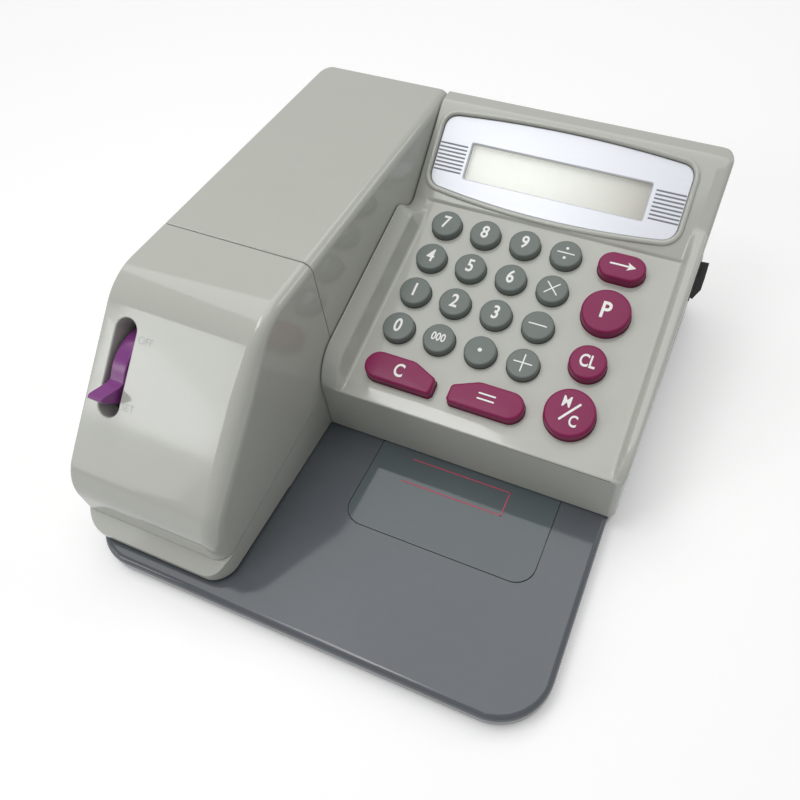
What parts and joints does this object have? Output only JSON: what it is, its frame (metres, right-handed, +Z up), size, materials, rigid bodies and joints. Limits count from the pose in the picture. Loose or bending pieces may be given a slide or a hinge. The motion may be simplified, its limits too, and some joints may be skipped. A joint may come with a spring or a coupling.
{
  "type": "check writer",
  "caption": "Desk check writer: print arm with a lever on its sloping nose, keypad housing with tilted display, thin tray for the check, side rocker switch.",
  "frame": {"origin": "middle of the footprint box, on the surface the rubber feet stand on", "axes": "+Z up, +X to the right and +Y to the back as the user faces the keys"},
  "size_m": [0.1905, 0.22, 0.0876],
  "materials": {
    "shell": "satin gloss moulded ABS",
    "tray": "gloss moulded",
    "window": "clear gloss over grey",
    "violet": "gloss",
    "steel": "plain",
    "bezel": "silver white",
    "lens": "clear",
    "lcd": "matte",
    "rubber_mat": "silicone",
    "board": "solder mask",
    "black": "satin",
    "inner_plastic": "matte",
    "rubber": "matte",
    "gear": "natural acetal",
    "ink": "felt",
    "motor_can": "plain",
    "purple_key": "satin",
    "grey_key": "satin"
  },
  "bodies": {
    "frame": {"base_tray": "tray", "guide_window": "window", "keypad_housing": "shell", "arm_rear_cover": "shell", "arm_lower_jaw": "shell", "display_bezel": "bezel", "display_lens": "lens", "lcd_module": "lcd", "key_mat": "rubber_mat", "main_board": "board", "switch_frame": "black", "dc_jack": "black", "battery_box": "inner_plastic", "battery_contacts": "steel", "rubber_feet": "rubber", "case_screws": "steel", "print_frame": "steel", "ink_shaft": "steel", "motor": "motor_can"},
    "front_cover": {"arm_front_cover": "shell", "lever_axle": "steel"},
    "lever": {"lever": "violet"},
    "rocker": {"rocker_switch": "black"},
    "battery_door": {"battery_door": "tray"},
    "print_drive": {"print_wheel": "inner_plastic", "print_shaft": "steel", "wheel_gear": "gear"},
    "idler": {"idler_gear": "gear"},
    "feed": {"feed_roller": "rubber", "feed_gear": "gear"},
    "pinion": {"motor_pinion": "gear"},
    "ink": {"ink_roller": "ink"},
    "pinch": {"pinch_roller": "rubber"},
    "key_0": {"key_0": "grey_key"},
    "key_000": {"key_000": "grey_key"},
    "key_point": {"key_point": "grey_key"},
    "key_plus": {"key_plus": "grey_key"},
    "key_1": {"key_1": "grey_key"},
    "key_2": {"key_2": "grey_key"},
    "key_3": {"key_3": "grey_key"},
    "key_minus": {"key_minus": "grey_key"},
    "key_4": {"key_4": "grey_key"},
    "key_5": {"key_5": "grey_key"},
    "key_6": {"key_6": "grey_key"},
    "key_times": {"key_times": "grey_key"},
    "key_7": {"key_7": "grey_key"},
    "key_8": {"key_8": "grey_key"},
    "key_9": {"key_9": "grey_key"},
    "key_divide": {"key_divide": "grey_key"},
    "key_clear": {"key_clear": "purple_key"},
    "key_equals": {"key_equals": "purple_key"},
    "key_memory": {"key_memory": "purple_key"},
    "key_correct": {"key_correct": "purple_key"},
    "key_print": {"key_print": "purple_key"},
    "key_arrow": {"key_arrow": "purple_key"}
  },
  "joints": [
    {"name": "front_cover_pull", "type": "slide", "parent": "frame", "child": "front_cover", "axis": [0, -1, 0], "range_m": [0, 0.045]},
    {"name": "lever_swing", "type": "hinge", "parent": "front_cover", "child": "lever", "pos_m": [-0.08495, -0.05257, 0.05336], "axis": [-1, 0, 0], "range_deg": [0, 56]},
    {"name": "rocker_flip", "type": "hinge", "parent": "frame", "child": "rocker", "pos_m": [0.08939, 0.0754, 0.0468], "axis": [0, -1, 0], "range_deg": [0, 20]},
    {"name": "battery_door_slide", "type": "slide", "parent": "frame", "child": "battery_door", "axis": [0, 1, 0], "range_m": [0, 0.02]},
    {"name": "print_wheel_spin", "type": "hinge", "parent": "frame", "child": "print_drive", "pos_m": [-0.06045, -0.0731, 0.0225], "axis": [1, 0, 0], "continuous": true},
    {"name": "idler_spin", "type": "hinge", "parent": "frame", "child": "idler", "pos_m": [-0.04115, -0.05315, 0.03593], "axis": [1, 0, 0], "continuous": true},
    {"name": "feed_spin", "type": "hinge", "parent": "frame", "child": "feed", "pos_m": [-0.06045, -0.0451, 0.0167], "axis": [1, 0, 0], "continuous": true},
    {"name": "pinion_spin", "type": "hinge", "parent": "frame", "child": "pinion", "pos_m": [-0.04115, -0.0342, 0.03928], "axis": [1, 0, 0], "continuous": true},
    {"name": "ink_roller_spin", "type": "hinge", "parent": "frame", "child": "ink", "pos_m": [-0.06045, -0.06285, 0.04025], "axis": [1, 0, 0], "continuous": true},
    {"name": "pinch_roller_spin", "type": "hinge", "parent": "frame", "child": "pinch", "pos_m": [-0.06045, -0.0451, 0.0065], "axis": [1, 0, 0], "continuous": true},
    {"name": "key_0_press", "type": "slide", "parent": "frame", "child": "key_0", "axis": [0, 0.2588, -0.9659], "range_m": [0, 0.0018], "stiffness_N_per_m": 150},
    {"name": "key_000_press", "type": "slide", "parent": "frame", "child": "key_000", "axis": [0, 0.2588, -0.9659], "range_m": [0, 0.0018], "stiffness_N_per_m": 150},
    {"name": "key_point_press", "type": "slide", "parent": "frame", "child": "key_point", "axis": [0, 0.2588, -0.9659], "range_m": [0, 0.0018], "stiffness_N_per_m": 150},
    {"name": "key_plus_press", "type": "slide", "parent": "frame", "child": "key_plus", "axis": [0, 0.2588, -0.9659], "range_m": [0, 0.0018], "stiffness_N_per_m": 150},
    {"name": "key_1_press", "type": "slide", "parent": "frame", "child": "key_1", "axis": [0, 0.2588, -0.9659], "range_m": [0, 0.0018], "stiffness_N_per_m": 150},
    {"name": "key_2_press", "type": "slide", "parent": "frame", "child": "key_2", "axis": [0, 0.2588, -0.9659], "range_m": [0, 0.0018], "stiffness_N_per_m": 150},
    {"name": "key_3_press", "type": "slide", "parent": "frame", "child": "key_3", "axis": [0, 0.2588, -0.9659], "range_m": [0, 0.0018], "stiffness_N_per_m": 150},
    {"name": "key_minus_press", "type": "slide", "parent": "frame", "child": "key_minus", "axis": [0, 0.2588, -0.9659], "range_m": [0, 0.0018], "stiffness_N_per_m": 150},
    {"name": "key_4_press", "type": "slide", "parent": "frame", "child": "key_4", "axis": [0, 0.2588, -0.9659], "range_m": [0, 0.0018], "stiffness_N_per_m": 150},
    {"name": "key_5_press", "type": "slide", "parent": "frame", "child": "key_5", "axis": [0, 0.2588, -0.9659], "range_m": [0, 0.0018], "stiffness_N_per_m": 150},
    {"name": "key_6_press", "type": "slide", "parent": "frame", "child": "key_6", "axis": [0, 0.2588, -0.9659], "range_m": [0, 0.0018], "stiffness_N_per_m": 150},
    {"name": "key_times_press", "type": "slide", "parent": "frame", "child": "key_times", "axis": [0, 0.2588, -0.9659], "range_m": [0, 0.0018], "stiffness_N_per_m": 150},
    {"name": "key_7_press", "type": "slide", "parent": "frame", "child": "key_7", "axis": [0, 0.2588, -0.9659], "range_m": [0, 0.0018], "stiffness_N_per_m": 150},
    {"name": "key_8_press", "type": "slide", "parent": "frame", "child": "key_8", "axis": [0, 0.2588, -0.9659], "range_m": [0, 0.0018], "stiffness_N_per_m": 150},
    {"name": "key_9_press", "type": "slide", "parent": "frame", "child": "key_9", "axis": [0, 0.2588, -0.9659], "range_m": [0, 0.0018], "stiffness_N_per_m": 150},
    {"name": "key_divide_press", "type": "slide", "parent": "frame", "child": "key_divide", "axis": [0, 0.2588, -0.9659], "range_m": [0, 0.0018], "stiffness_N_per_m": 150},
    {"name": "key_clear_press", "type": "slide", "parent": "frame", "child": "key_clear", "axis": [0, 0.2588, -0.9659], "range_m": [0, 0.0018], "stiffness_N_per_m": 150},
    {"name": "key_equals_press", "type": "slide", "parent": "frame", "child": "key_equals", "axis": [0, 0.2588, -0.9659], "range_m": [0, 0.0018], "stiffness_N_per_m": 150},
    {"name": "key_memory_press", "type": "slide", "parent": "frame", "child": "key_memory", "axis": [0, 0.2588, -0.9659], "range_m": [0, 0.0018], "stiffness_N_per_m": 150},
    {"name": "key_correct_press", "type": "slide", "parent": "frame", "child": "key_correct", "axis": [0, 0.2588, -0.9659], "range_m": [0, 0.0018], "stiffness_N_per_m": 150},
    {"name": "key_print_press", "type": "slide", "parent": "frame", "child": "key_print", "axis": [0, 0.2588, -0.9659], "range_m": [0, 0.0018], "stiffness_N_per_m": 150},
    {"name": "key_arrow_press", "type": "slide", "parent": "frame", "child": "key_arrow", "axis": [0, 0.2588, -0.9659], "range_m": [0, 0.0018], "stiffness_N_per_m": 150}
  ],
  "couplings": [
    {"joint": "idler_spin", "follows": "print_wheel_spin", "ratio": -0.66667},
    {"joint": "feed_spin", "follows": "print_wheel_spin", "ratio": 1.5},
    {"joint": "pinion_spin", "follows": "print_wheel_spin", "ratio": 2},
    {"joint": "ink_roller_spin", "follows": "print_wheel_spin", "ratio": -1.6447},
    {"joint": "pinch_roller_spin", "follows": "print_wheel_spin", "ratio": -4.2}
  ]
}
